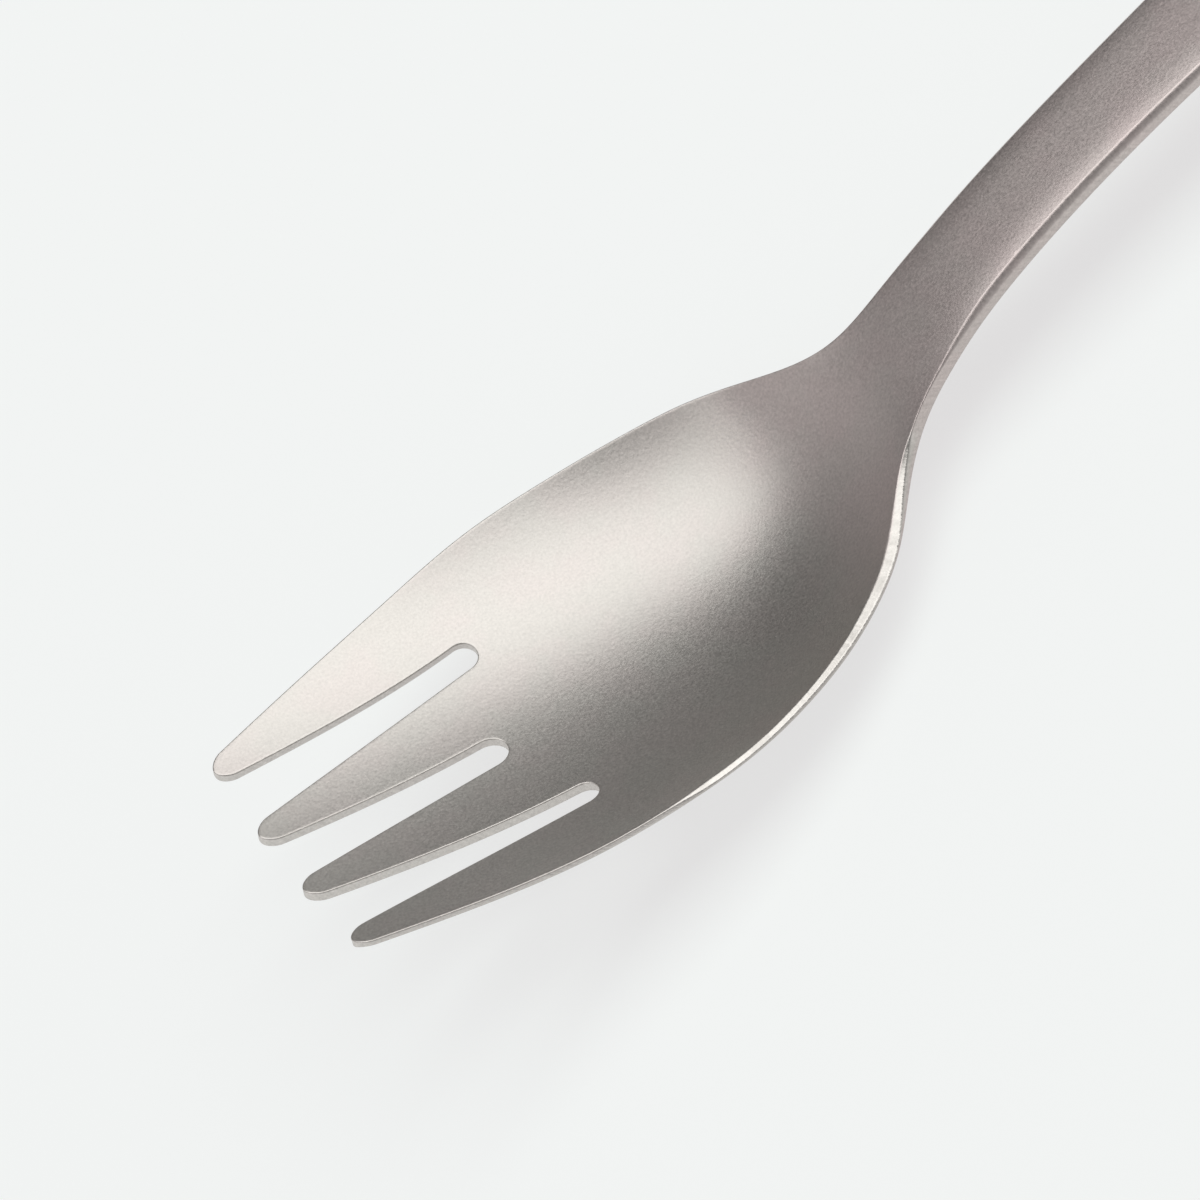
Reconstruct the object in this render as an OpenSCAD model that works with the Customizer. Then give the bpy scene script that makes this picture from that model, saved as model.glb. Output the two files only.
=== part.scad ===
// Spork pressed from one piece of sheet: four tines, a bowl, a neck and an arched handle.
// The sections meet face to face, because on the real object they are one continuous sheet.
// x runs from the tine tips to the end of the handle, y across, z up.
// It lies at rest on the bottom of its bowl and on the end of its handle, at z = 0.

/* [Overall] */
// Length from the tine tips to the end of the handle, as it lies
length = 165; // [150:1:185]
// Thickness of the sheet
sheet_t = 1; // [0.8:0.1:1.6]
// Thickness of the outer rim of the tines and of the bowl's front, where it is ground thinner
rim_t = 0.6; // [0.4:0.1:0.8]
// Height of the tine tips above the table
tip_h = 18.85; // [14:0.05:24]

/* [Bowl] */
// Greatest width of the bowl
bowl_w = 38; // [32:1:44]
// Length from the tine tips to the start of the handle
head_len = 70; // [64:1:78]
// How far the middle of the bowl lies below its rim
bowl_sink = 5.25; // [4:0.05:8]
// Distance from the tine tips to the lowest point of the bowl
bottom_at = 45; // [41:0.5:48]

/* [Tines] */
// Width across the outer edges of the outer tines, at their tips
tip_span = 25.3; // [22:0.1:28]
// Distance that the outer tines stand back from the inner ones
outer_setback = 0.6; // [0:0.1:1.5]
// Length of the rounding at a tine's tip
tip_round = 1.4; // [0.8:0.1:2]
// Depth of the middle slot
mid_slot_len = 19.5; // [16:0.1:23]
// Width of the middle slot at its root
mid_slot_w = 3.1; // [2:0.1:3.6]
// Width of the middle slot at its mouth
mid_slot_mouth = 5.3; // [4.4:0.1:6]
// Depth of each outer slot
side_slot_len = 22.9; // [18:0.1:26]
// Width of each outer slot at its root
side_slot_w = 2.6; // [2:0.1:3.4]
// Width of each outer slot at its mouth
side_slot_mouth = 5.7; // [4.6:0.1:6.2]
// Distance from the middle to an outer slot's centre line, at its root
side_slot_root_y = 10.1; // [9.2:0.1:10.8]
// Distance from the middle to an outer slot's centre line, at its mouth
side_slot_mouth_y = 7.8; // [7.2:0.1:8.4]

/* [Handle] */
// Width of the slim part of the handle
shank_w = 10; // [8:0.2:13]
// Width of the handle at its rounded end
end_w = 14; // [10:0.5:18]
// Height of the handle's arch above the table
arch_h = 11.15; // [9:0.05:16]
// Distance from the tine tips to the top of the arch
crest_at = 90; // [84:1:100]
// Length of the rounding at the handle's end
end_round = 7; // [4:0.5:10]
// How far the edges of the handle drop below its middle
crown = 0.2; // [0:0.1:0.6]
// How far the turned-down rim hangs below the handle's underside
rim_drop = 0.5; // [0:0.1:1]

/* [Hidden] */

// Half width of the head: station as a share of head_len, and how much of the
// difference between the bowl's and the handle's half width is there
head_width_shares = [[0.171, 0.793], [0.343, 0.965], [0.457, 1], [0.571, 0.932], [0.686, 0.766],
                     [0.771, 0.539], [0.843, 0.254], [0.9, 0.095], [0.971, 0.027], [1.114, 0], [1.39, 0]];
// Middle line from the tips down to the bottom: share of the way, share of the fall left
front_fall_shares = [[0, 1], [0.22, 0.694], [0.44, 0.421], [0.62, 0.232], [0.8, 0.085], [1, 0]];
// Middle line from the bottom up to the crest: share of the way, share of the rise
rise_shares = [[0.11, 0.053], [0.2, 0.165], [0.29, 0.329], [0.38, 0.529], [0.49, 0.713], [0.6, 0.853],
               [0.73, 0.947], [1, 1]];
// Middle line from the crest down to the end: share of the way, share of the fall left
back_fall_shares = [[0.24, 0.927], [0.48, 0.797], [1, 0]];
// Rim above the middle line: station as a share of head_len, share of bowl_sink, share of crown
rim_shares = [[0, 0.238, 0], [0.143, 0.495, 0], [0.286, 0.724, 0], [0.4, 0.924, 0], [0.514, 0.981, 0],
              [0.6, 0.996, 0], [0.657, 0.93, 0], [0.714, 0.773, 0], [0.771, 0.533, 0], [0.829, 0.322, 0],
              [0.886, 0.101, 0], [0.957, 0, 0], [1.029, 0, 0.85], [1.114, 0, 1.2]];
// Length of the neck, as shares of head_len
neck_share = [0.88, 1.12];
// Where the cut edge turns from square to the sheet to upright, as shares of head_len
turn_share = [0.75, 0.92];
// Where the ground rim thickens to the full sheet, as shares of head_len
grind_share = [0.4, 0.86];
// How far across the section the ground rim begins
grind_from_share = 0.88;
// How far across the section the turned-down rim begins and is complete
rim_share = [0.72, 0.88];
// Power that shapes the dish across the bowl, and the crown across the handle
dish_power = 2;
crown_power = 3;
// Power of a slot's flare from its root to its mouth
flare_power = 1.7;
// Share of the shorter slot that the separate tines take up
tine_share = 0.9;
// Half width of the flat facet at a rounded tip or end, as a share of the full half width
facet_share = 0.16;

// Cells across one strip of the sheet, and rows along its stretches
cells = 6;
tine_rows = 9;
round_rows = 5;
bowl_rows = 22;
neck_rows = 10;
handle_rows = 18;
// Step over which slopes are measured
probe = sheet_t / 20;

bowl_half = bowl_w / 2;
shank_half = shank_w / 2;
end_from = length - end_round;
tine_end = tine_share * min(mid_slot_len - mid_slot_w / 2, side_slot_len - side_slot_w / 2);
web_at = max(mid_slot_len, side_slot_len);
neck_from = neck_share[0] * head_len;
neck_to = neck_share[1] * head_len;
// Height of the middle line where the rim of the handle's end meets the table
end_h = crown + rim_drop + sheet_t;

// Half width, the middle line's height, and the rim's height above the middle line
width_curve = fair([
    [0, tip_span / 2],
    for (s = head_width_shares) [s[0] * head_len, shank_half + s[1] * (bowl_half - shank_half)],
    [end_from, end_w / 2],
    [length, end_w / 2]]);
middle_curve = fair([
    for (s = front_fall_shares) [s[0] * bottom_at, sheet_t + s[1] * (tip_h - sheet_t)],
    for (s = rise_shares) [bottom_at + s[0] * (crest_at - bottom_at), sheet_t + s[1] * (arch_h - sheet_t)],
    for (s = back_fall_shares) [crest_at + s[0] * (length - crest_at), end_h + s[1] * (arch_h - end_h)]]);
rim_curve = fair([
    for (s = rim_shares) [s[0] * head_len, s[1] * bowl_sink - s[2] * crown],
    [length, -crown]]);

function smooth(a, b, v) = let (u = min(1, max(0, (v - a) / (b - a)))) u * u * (3 - 2 * u);

// Smooth curve through stations [[x, value], ...], with no bend at its ends: its bends at the
// stations come from one sweep forward and one back
function span(s, i) = s[i + 1][0] - s[i][0];
function slope(s, i) = (s[i + 1][1] - s[i][1]) / span(s, i);
function sweep(s, i = 1, out = [[0, 0]]) =
    i == len(s) - 1 ? out :
    let (g = span(s, i - 1), h = span(s, i), w = 2 * (g + h) - g * out[i - 1][0],
         r = 6 * (slope(s, i) - slope(s, i - 1)) - g * out[i - 1][1])
    sweep(s, i + 1, concat(out, [[h / w, r / w]]));
function bends(swept, i, out = [0]) =
    i == 0 ? concat([0], out) : bends(swept, i - 1, concat([swept[i][1] - swept[i][0] * out[0]], out));
function fair(s) = [s, bends(sweep(s), len(s) - 2)];
function segment(s, x, i = 0) = i >= len(s) - 2 || x < s[i + 1][0] ? i : segment(s, x, i + 1);
function value(curve, x) =
    let (s = curve[0], bend = curve[1], i = segment(s, x), h = span(s, i), p = x - s[i][0], q = h - p)
    (s[i][1] * q + s[i + 1][1] * p) / h - p * q / 6 * ((1 + q / h) * bend[i] + (1 + p / h) * bend[i + 1]);

// Half width of the blank, before its tips and end are rounded
function half_width(x) = value(width_curve, x);
// How far a point lies from the middle towards the edge, 0 to 1, also round the handle's end
function edge_share(x, y) = norm([y / half_width(x), max(0, x - end_from) / end_round]);
// Height of the upper surface
function top_z(x, y) =
    let (rim = value(rim_curve, x))
    value(middle_curve, x) + rim * pow(edge_share(x, y), rim > 0 ? dish_power : crown_power);
function top(p) = [p[0], p[1], top_z(p[0], p[1])];
// Thickness of the sheet, with its ground rim
function thickness(x, y) =
    let (ground = 1 - smooth(grind_share[0] * head_len, grind_share[1] * head_len, x))
    sheet_t - (sheet_t - rim_t) * ground * smooth(grind_from_share, 1, edge_share(x, y));
// Point of the lower surface: square to the sheet in the head, upright below the edge in the handle
function under(p) =
    let (x = p[0], y = p[1],
         a = (top_z(x + probe, y) - top_z(x - probe, y)) / (2 * probe),
         b = (top_z(x, y + probe) - top_z(x, y - probe)) / (2 * probe),
         lean = (value(middle_curve, x + probe) - value(middle_curve, x - probe)) / (2 * probe),
         n = norm([1, a, b]), t = thickness(x, y), drop = t * n / (1 + a * lean),
         k = smooth(turn_share[0] * head_len, turn_share[1] * head_len, x),
         rim = rim_drop * k * smooth(rim_share[0], rim_share[1], edge_share(x, y)))
    top(p) + (1 - k) * t / n * [a, b, -1] + k * drop * [lean, 0, -1] - [0, 0, rim];

// Half width of a slot with a round root
function slot_half(x, depth, root_w, mouth_w) =
    let (r = root_w / 2, from = depth - r)
    x >= depth ? 0 :
    x > from ? sqrt(max(0, r * r - (x - from) * (x - from))) :
    r + (mouth_w - root_w) / 2 * pow((from - x) / from, flare_power);
function mid_slot_half(x) = slot_half(x, mid_slot_len, mid_slot_w, mid_slot_mouth);
function side_slot_half(x) = slot_half(x, side_slot_len, side_slot_w, side_slot_mouth);
function side_slot_y(x) =
    side_slot_root_y + (side_slot_mouth_y - side_slot_root_y) * (1 - min(x, side_slot_len) / side_slot_len);

// Edges of the four strips of sheet that the slots leave at x, from -y to +y
function strip_edges(x) =
    let (h = half_width(x), y = side_slot_y(x), s = side_slot_half(x), m = mid_slot_half(x))
    [[-h, -y - s], [-y + s, -m], [m, y - s], [y + s, h]];
function across(x, edges) =
    [for (c = [0 : cells]) [x, edges[0] + (edges[1] - edges[0]) * c / cells]];
function full_row(x) = [for (e = strip_edges(x)) across(x, e)];
// Behind the slots every row keeps the spacing of the last slotted one
web_row_share = [for (strip = full_row(web_at)) [for (p = strip) p[1] / half_width(web_at)]];
function end_narrowing(x) = sqrt(max(0, 1 - pow(max(0, x - end_from) / end_round, 2)));
function plain_row(x) =
    let (h = half_width(x) * max(facet_share, end_narrowing(x)))
    [for (strip = web_row_share) [for (u = strip) [x, u * h]]];

// One strip of a tine, rounded at its tip
function tine_row(x, i, tip_x) =
    let (e = strip_edges(x)[i], u = min(1, (x - tip_x) / tip_round), narrow = sqrt(1 - (1 - u) * (1 - u)),
         mid = (e[0] + e[1]) / 2, half = (e[1] - e[0]) / 2 * max(facet_share, narrow))
    [across(x, [mid - half, mid + half])];

// The foremost point is the lower edge of an inner tine's tip, just before x = 0
foremost = under([0, (mid_slot_half(0) + side_slot_y(0) - side_slot_half(0)) / 2])[0];

function steps(a, b, n) = [for (i = [0 : n]) a + (b - a) * i / n];
// Stations that close in on b, for a round root or end of radius r
function round_steps(b, r, n) = [for (i = [0 : n]) b - r + r * sin(90 * i / n)];
// Stations that open out from a, for a round tip
function tip_steps(a, r, n) = [for (i = [0 : n]) a + r - r * cos(90 * i / n)];
function tail(v) = [for (i = [1 : len(v) - 1]) v[i]];
function sorted(v) =
    len(v) < 2 ? v :
    let (p = v[floor(len(v) / 2)])
    concat(sorted([for (a = v) if (a < p - probe) a]), [p], sorted([for (a = v) if (a > p + probe) a]));

slot_stations = sorted(concat(
    round_steps(mid_slot_len, mid_slot_w / 2, round_rows),
    round_steps(side_slot_len, side_slot_w / 2, round_rows)));
bowl_stations = tail(steps(web_at, neck_from, bowl_rows));
neck_stations = steps(neck_from, neck_to, neck_rows);
handle_stations = concat(steps(neck_to, end_from, handle_rows),
                         tail(round_steps(length, end_round, round_rows)));

// Closed sheet over rows of strips: rows run along x, strips and their points along y
module sheet(rows) {
    strips = len(rows[0]);
    wide = len(rows[0][0]);
    last = len(rows) - 1;
    points = [for (row = rows) for (strip = row) for (p = strip) p];
    count = len(points);
    // Number of a point: neighbouring strips share their edge where the slot between them is closed
    function at(i, s, c) =
        let (joined = c == wide - 1 && s < strips - 1 && rows[i][s][c] == rows[i][s + 1][0])
        i * strips * wide + (joined ? (s + 1) * wide : s * wide + c);
    function open(i, s) = at(i, s, wide - 1) != at(i, s + 1, 0);
    tops = [for (i = [0 : last - 1]) for (s = [0 : strips - 1]) for (c = [0 : wide - 2])
        let (a = at(i, s, c), b = at(i + 1, s, c), d = at(i + 1, s, c + 1), e = at(i, s, c + 1))
        each [[a, e, d], [a, d, b]]];
    unders = [for (t = tops) [t[0] + count, t[2] + count, t[1] + count]];
    low_sides = [for (s = [0 : strips - 1]) for (i = [0 : last - 1])
        if (s == 0 || open(i, s - 1) || open(i + 1, s - 1))
        let (a = at(i, s, 0), b = at(i + 1, s, 0))
        each [[a, b, b + count], [a, b + count, a + count]]];
    high_sides = [for (s = [0 : strips - 1]) for (i = [0 : last - 1])
        if (s == strips - 1 || open(i, s) || open(i + 1, s))
        let (a = at(i, s, wide - 1), b = at(i + 1, s, wide - 1))
        each [[a, b + count, b], [a, a + count, b + count]]];
    caps = [for (s = [0 : strips - 1]) for (c = [0 : wide - 2])
        let (p = at(0, s, c), q = at(0, s, c + 1), m = at(last, s, c), n = at(last, s, c + 1))
        each [[q, p, p + count], [q, p + count, q + count],
              [m, n, m + count], [n, n + count, m + count]]];
    translate([-(length + foremost) / 2, 0, 0])
        polyhedron(
            points = concat([for (p = points) top(p)], [for (p = points) under(p)]),
            faces = concat(tops, unders, low_sides, high_sides, caps),
            convexity = 6);
}

module tine(i, tip_x) {
    stations = concat(tip_steps(tip_x, tip_round, round_rows),
                      tail(steps(tip_x + tip_round, tine_end, tine_rows)));
    color("darkgray") sheet([for (x = stations) tine_row(x, i, tip_x)]);
}

module tine_right_outer() { tine(0, outer_setback); }
module tine_right_inner() { tine(1, 0); }
module tine_left_inner() { tine(2, 0); }
module tine_left_outer() { tine(3, outer_setback); }

module bowl() {
    color("silver")
        sheet(concat([for (x = concat([tine_end], slot_stations)) full_row(x)],
                     [for (x = bowl_stations) plain_row(x)]));
}

module neck() { color("gray") sheet([for (x = neck_stations) plain_row(x)]); }

module handle() { color("dimgray") sheet([for (x = handle_stations) plain_row(x)]); }

tine_left_outer();
tine_left_inner();
tine_right_inner();
tine_right_outer();
bowl();
neck();
handle();
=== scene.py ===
"""A one-piece titanium spork lying on a pale studio floor.

The spork is made the way the real one is: a flat blank is cut from sheet, dies press it into a bowl, a neck and a
crowned handle, its cut edges are ground, and fine beads blast it. The blank is cut here in mesh code, a node tree
does the pressing and rounds the cut edges, and a finish dresses it.
"""

import logging
import math
from dataclasses import dataclass, field
from enum import Enum

import bpy
import numpy as np
from mathutils import Matrix, Quaternion, Vector
from mathutils.geometry import delaunay_2d_cdt


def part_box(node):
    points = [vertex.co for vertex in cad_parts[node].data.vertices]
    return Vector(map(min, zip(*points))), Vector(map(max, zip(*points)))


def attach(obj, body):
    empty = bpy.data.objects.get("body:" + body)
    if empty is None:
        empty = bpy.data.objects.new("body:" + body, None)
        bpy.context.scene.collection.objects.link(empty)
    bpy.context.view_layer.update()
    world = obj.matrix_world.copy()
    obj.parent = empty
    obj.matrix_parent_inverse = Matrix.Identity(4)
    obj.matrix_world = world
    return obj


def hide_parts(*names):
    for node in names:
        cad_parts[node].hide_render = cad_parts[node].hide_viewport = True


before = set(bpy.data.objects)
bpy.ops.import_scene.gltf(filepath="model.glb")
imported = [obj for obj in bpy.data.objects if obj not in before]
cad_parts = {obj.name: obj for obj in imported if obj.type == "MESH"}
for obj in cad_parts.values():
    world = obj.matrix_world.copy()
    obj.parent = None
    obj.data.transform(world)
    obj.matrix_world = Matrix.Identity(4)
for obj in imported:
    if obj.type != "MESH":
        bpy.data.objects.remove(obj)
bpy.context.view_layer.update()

log = logging.getLogger("spork")

MM = 0.001
# Keeps a division off zero. Places of the outline that are closer than this, in mm, are one.
TINY = 1e-6
Array = np.ndarray
Socket = bpy.types.NodeSocket
Colour = tuple[float, float, float]
Point = tuple[float, float, float]
# Where something starts and where it is complete.
Stretch = tuple[float, float]
# Place and value of each station of a curve.
Stations = tuple[tuple[float, float], ...]
# How many finer layers a noise has, and how strong each is against the one before.
Layers = tuple[float, float]


# ---------------------------------------------------------------- names


class Section(Enum):
    """The sections of the sheet, as the CAD model names them."""

    TINE_LEFT_OUTER = "tine_left_outer"
    TINE_LEFT_INNER = "tine_left_inner"
    TINE_RIGHT_INNER = "tine_right_inner"
    TINE_RIGHT_OUTER = "tine_right_outer"
    BOWL = "bowl"
    NECK = "neck"
    HANDLE = "handle"


class CutEdge(Enum):
    """The cut edges of the sheet, each with the polish that the grinding wheel leaves on it."""

    HANDLE_SIDE = 0.1
    BOWL_RIM = 0.45
    TINE_TIP = 0.6
    SLOT = 0.6


# ---------------------------------------------------------------- node trees


class Bench:
    """A node tree under construction."""

    COLUMN, ROW, ACROSS = 220, 260, 12
    # Sockets of the Mix node where it mixes colours.
    FIRST, SECOND, MIXED = 6, 7, 2

    def __init__(self, tree: bpy.types.NodeTree) -> None:
        """Starts with an empty tree.

        Args:
            tree: The tree that gets the nodes.
        """
        self.tree = tree
        tree.nodes.clear()

    def add(self, kind: str, inputs: dict | None = None, **settings: object) -> bpy.types.Node:
        """Adds one node.

        Args:
            kind: The node's type.
            inputs: What goes into its sockets, by name or number: a value, a socket or a Wire.
            settings: The node's own options.

        Returns:
            The new node.
        """
        node = self.tree.nodes.new(kind)
        for name, value in settings.items():
            setattr(node, name, value)
        for key, value in (inputs or {}).items():
            self.feed(node.inputs[key], value)
        return node

    def feed(self, socket: Socket, value: object) -> None:
        """Wires a value into a socket, or sets it there.

        Args:
            socket: The socket that takes the value.
            value: A Wire, another socket, or a plain value.
        """
        if isinstance(value, Wire):
            value = value.socket
        if isinstance(value, Socket):
            self.tree.links.new(value, socket)
        else:
            socket.default_value = value

    def wire(self, socket: Socket) -> "Wire":
        """Returns a socket as a number that arithmetic works on."""
        return Wire(self, socket)

    def math(self, operation: str, *values: "Wire | float") -> "Wire":
        """Adds a Math node.

        Args:
            operation: The node's operation.
            values: Its inputs.

        Returns:
            The result.
        """
        node = self.add("ShaderNodeMath", dict(enumerate(values)), operation=operation)
        return Wire(self, node.outputs[0])

    def mix(self, share: "Wire | float", first: object, second: object, blend: str = "MIX") -> Socket:
        """Mixes two colours.

        Args:
            share: How much of the second colour there is.
            first: The first colour, or a socket that gives it.
            second: The second colour.
            blend: How they are mixed.

        Returns:
            The mixed colour.
        """
        first, second = ((*c, 1.0) if isinstance(c, tuple) else c for c in (first, second))
        inputs = {0: share, self.FIRST: first, self.SECOND: second}
        return self.add("ShaderNodeMix", inputs, data_type="RGBA", blend_type=blend).outputs[self.MIXED]

    def line_up(self) -> None:
        """Lays the nodes out in rows, so that the tree can be read."""
        for index, node in enumerate(self.tree.nodes):
            node.location = (index % self.ACROSS * self.COLUMN, -(index // self.ACROSS) * self.ROW)


@dataclass(frozen=True)
class Wire:
    """A number on its way through a node tree. Arithmetic on it adds Math nodes.

    Attributes:
        bench: The tree that it runs through.
        socket: The output that gives it.
    """

    bench: Bench
    socket: Socket

    def __add__(self, other: "Wire | float") -> "Wire":
        """Returns the sum."""
        return self.bench.math("ADD", self, other)

    def __radd__(self, other: float) -> "Wire":
        """Returns the sum with a plain number on the left."""
        return self.bench.math("ADD", other, self)

    def __sub__(self, other: "Wire | float") -> "Wire":
        """Returns the difference."""
        return self.bench.math("SUBTRACT", self, other)

    def __rsub__(self, other: float) -> "Wire":
        """Returns a plain number less this one."""
        return self.bench.math("SUBTRACT", other, self)

    def __mul__(self, other: "Wire | float") -> "Wire":
        """Returns the product."""
        return self.bench.math("MULTIPLY", self, other)

    def __rmul__(self, other: float) -> "Wire":
        """Returns the product with a plain number on the left."""
        return self.bench.math("MULTIPLY", other, self)

    def __truediv__(self, other: "Wire | float") -> "Wire":
        """Returns the quotient."""
        return self.bench.math("DIVIDE", self, other)

    def __pow__(self, other: "Wire | float") -> "Wire":
        """Returns the power."""
        return self.bench.math("POWER", self, other)


# ---------------------------------------------------------------- the form of the spork


class FairCurve:
    """A smooth curve through stations: a natural cubic spline, as a thin batten bends."""

    def __init__(self, stations: list[tuple[float, float]]) -> None:
        """Bends the batten round its stations.

        Args:
            stations: Place and value of each station, with rising places.
        """
        self.place, self.value = np.array(stations, float).T
        span = np.diff(self.place)
        rise = np.diff(self.value) / span
        count = len(self.place)
        stiffness, load = np.eye(count), np.zeros(count)
        for i in range(1, count - 1):
            stiffness[i, i - 1 : i + 2] = span[i - 1], 2 * (span[i - 1] + span[i]), span[i]
            load[i] = 6 * (rise[i] - rise[i - 1])
        self.bend = np.linalg.solve(stiffness, load)

    def _between(self, x: Array) -> tuple[Array, Array, Array, Array]:
        """Finds the stations on each side of a place.

        Args:
            x: The places.

        Returns:
            Number of the station before each place, the span, and the distances from both ends of the span.
        """
        i = np.clip(np.searchsorted(self.place, x, side="right") - 1, 0, len(self.place) - 2)
        span = self.place[i + 1] - self.place[i]
        after = x - self.place[i]
        return i, span, after, span - after

    def at(self, x: Array) -> Array:
        """Reads the curve.

        Args:
            x: The places.

        Returns:
            The curve's value at each place.
        """
        i, span, after, before = self._between(x)
        chord = (self.value[i] * before + self.value[i + 1] * after) / span
        sag = (1 + before / span) * self.bend[i] + (1 + after / span) * self.bend[i + 1]
        return chord - after * before / 6 * sag

    def slope(self, x: Array) -> Array:
        """Reads the curve's slope.

        Args:
            x: The places.

        Returns:
            The slope at each place.
        """
        i, span, after, before = self._between(x)
        chord = (self.value[i + 1] - self.value[i]) / span - (self.bend[i + 1] - self.bend[i]) * span / 6
        return chord + (self.bend[i + 1] * after**2 - self.bend[i] * before**2) / (2 * span)


def ease(low: float, high: float, value: Array) -> Array:
    """Rises smoothly from 0 to 1.

    Args:
        low: Where the rise starts.
        high: Where it ends.
        value: The places.

    Returns:
        The share at each place.
    """
    share = np.clip((value - low) / (high - low), 0, 1)
    return share * share * (3 - 2 * share)


@dataclass
class SporkForm:
    """The pressed form, in mm, with x = 0 at the tips of the inner tines.

    The sizes are the CAD model's own, but for a crown that is a little flatter. A place in a table or a stretch of
    shares is a share of the length that it is laid along, and a second number is a share of what changes there. The
    tables repeat the CAD model's lists, whose values a program fitted to the photograph.
    """

    length: float = 165.0
    sheet_t: float = 1.0
    # The rim of the tines and of the bowl's front is ground down to this thickness.
    rim_t: float = 0.6
    tip_h: float = 18.85
    bowl_w: float = 38.0
    head_len: float = 70.0
    # How far the middle of the bowl lies below its rim.
    bowl_sink: float = 5.25
    bottom_at: float = 45.0
    tip_span: float = 25.3
    # How far the outer tines stand back from the inner ones.
    outer_setback: float = 0.6
    tip_round: float = 1.4
    mid_slot_len: float = 19.5
    mid_slot_w: float = 3.1
    mid_slot_mouth: float = 5.3
    side_slot_len: float = 22.9
    side_slot_w: float = 2.6
    side_slot_mouth: float = 5.7
    # How far an outer slot's middle is from the middle line, at its root and at its mouth.
    side_slot_root_y: float = 10.1
    side_slot_mouth_y: float = 7.8
    shank_w: float = 10.0
    end_w: float = 14.0
    arch_h: float = 11.15
    crest_at: float = 90.0
    end_round: float = 7.0
    # How far the handle's edges drop below its middle, and its turned-down rim below its underside.
    crown: float = 0.16
    rim_drop: float = 0.5
    # The powers that shape the dish across the bowl, the crown across the handle and the flare of a slot.
    dish_power: float = 2.0
    crown_power: float = 4.0
    flare_power: float = 1.7
    # The swell from the handle to the bowl.
    head_width_shares: Stations = (
        (0.171, 0.793), (0.343, 0.965), (0.457, 1), (0.571, 0.932), (0.686, 0.766), (0.771, 0.539),
        (0.843, 0.254), (0.9, 0.095), (0.971, 0.027), (1.114, 0), (1.39, 0),
    )
    # The middle line: down to the bottom of the bowl, up to the crest and down to the end of the handle.
    front_fall_shares: Stations = ((0, 1), (0.22, 0.694), (0.44, 0.421), (0.62, 0.232), (0.8, 0.085), (1, 0))
    rise_shares: Stations = (
        (0.11, 0.053), (0.2, 0.165), (0.29, 0.329), (0.38, 0.529), (0.49, 0.713), (0.6, 0.853),
        (0.73, 0.947), (1, 1),
    )
    back_fall_shares: Stations = ((0.24, 0.927), (0.48, 0.797), (1, 0))
    # The rise of the bowl's rim, and the fall of the handle's sides.
    rim_shares: Stations = (
        (0, 0.238), (0.143, 0.495), (0.286, 0.724), (0.4, 0.924), (0.514, 0.981), (0.6, 0.996),
        (0.657, 0.93), (0.714, 0.773), (0.771, 0.533), (0.829, 0.322), (0.886, 0.101), (0.957, 0),
    )
    turned_down_shares: Stations = ((1.029, 0.85), (1.114, 1.2), (1.5, 0.9))
    # Along the head: the cut edge turns upright, and the ground rim thickens to the full sheet.
    turn_share: Stretch = (0.75, 0.92)
    grind_share: Stretch = (0.4, 0.86)
    # Out to the edge: the grinding, and the handle's turned-down rim.
    grind_edge_share: Stretch = (0.88, 1.0)
    crease_edge_share: Stretch = (0.72, 0.88)
    end_from: float = field(init=False)
    half_width: FairCurve = field(init=False)
    middle: FairCurve = field(init=False)
    dish: FairCurve = field(init=False)

    def __post_init__(self) -> None:
        """Lays the three curves that the form follows: half width, middle line and rise of the rim."""
        self.end_from = self.length - self.end_round
        self.half_width = self._lay_half_width()
        self.middle = self._lay_middle()
        self.dish = self._lay_dish()

    def _lay_half_width(self) -> FairCurve:
        """Lays the half width: the tips, the head, the slim handle and its wider end.

        Returns:
            The curve.
        """
        half_shank, half_end = self.shank_w / 2, self.end_w / 2
        swell = self.bowl_w / 2 - half_shank
        head = [(a * self.head_len, half_shank + b * swell) for a, b in self.head_width_shares]
        return FairCurve([(0, self.tip_span / 2), *head, (self.end_from, half_end), (self.length, half_end)])

    def _lay_middle(self) -> FairCurve:
        """Lays the height of the middle line: down to the bottom of the bowl, up to the crest and down to the end.

        Returns:
            The curve.
        """
        floor, end_h = self.sheet_t, self.crown + self.rim_drop + self.sheet_t
        arch, tail = self.crest_at - self.bottom_at, self.length - self.crest_at
        front = [(a * self.bottom_at, floor + b * (self.tip_h - floor)) for a, b in self.front_fall_shares]
        rise = [(self.bottom_at + a * arch, floor + b * (self.arch_h - floor)) for a, b in self.rise_shares]
        back = [(self.crest_at + a * tail, end_h + b * (self.arch_h - end_h)) for a, b in self.back_fall_shares]
        return FairCurve(front + rise + back)

    def _lay_dish(self) -> FairCurve:
        """Lays the rise of the rim above the middle line, which turns into the fall of the handle's sides.

        Returns:
            The curve.
        """
        rim = [(a * self.head_len, b * self.bowl_sink) for a, b in self.rim_shares]
        sides = [(a * self.head_len, -b * self.crown) for a, b in self.turned_down_shares]
        return FairCurve([*rim, *sides, (self.length, -self.crown)])

    def edge_share(self, x: Array, y: Array) -> tuple[Array, Array, Array]:
        """Measures how far out a place is, from 0 on the middle line to 1 on the outer edge.

        Args:
            x: Places along the spork.
            y: Places across it.

        Returns:
            The share, its slope along the spork and its slope across it.
        """
        half = self.half_width.at(x)
        across = y / half
        past = np.maximum(x - self.end_from, 0) / self.end_round
        share = np.hypot(across, past)
        safe = np.maximum(share, TINY)
        along = (past / self.end_round - across**2 * self.half_width.slope(x) / half) / safe
        return share, along, across / half / safe

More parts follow.
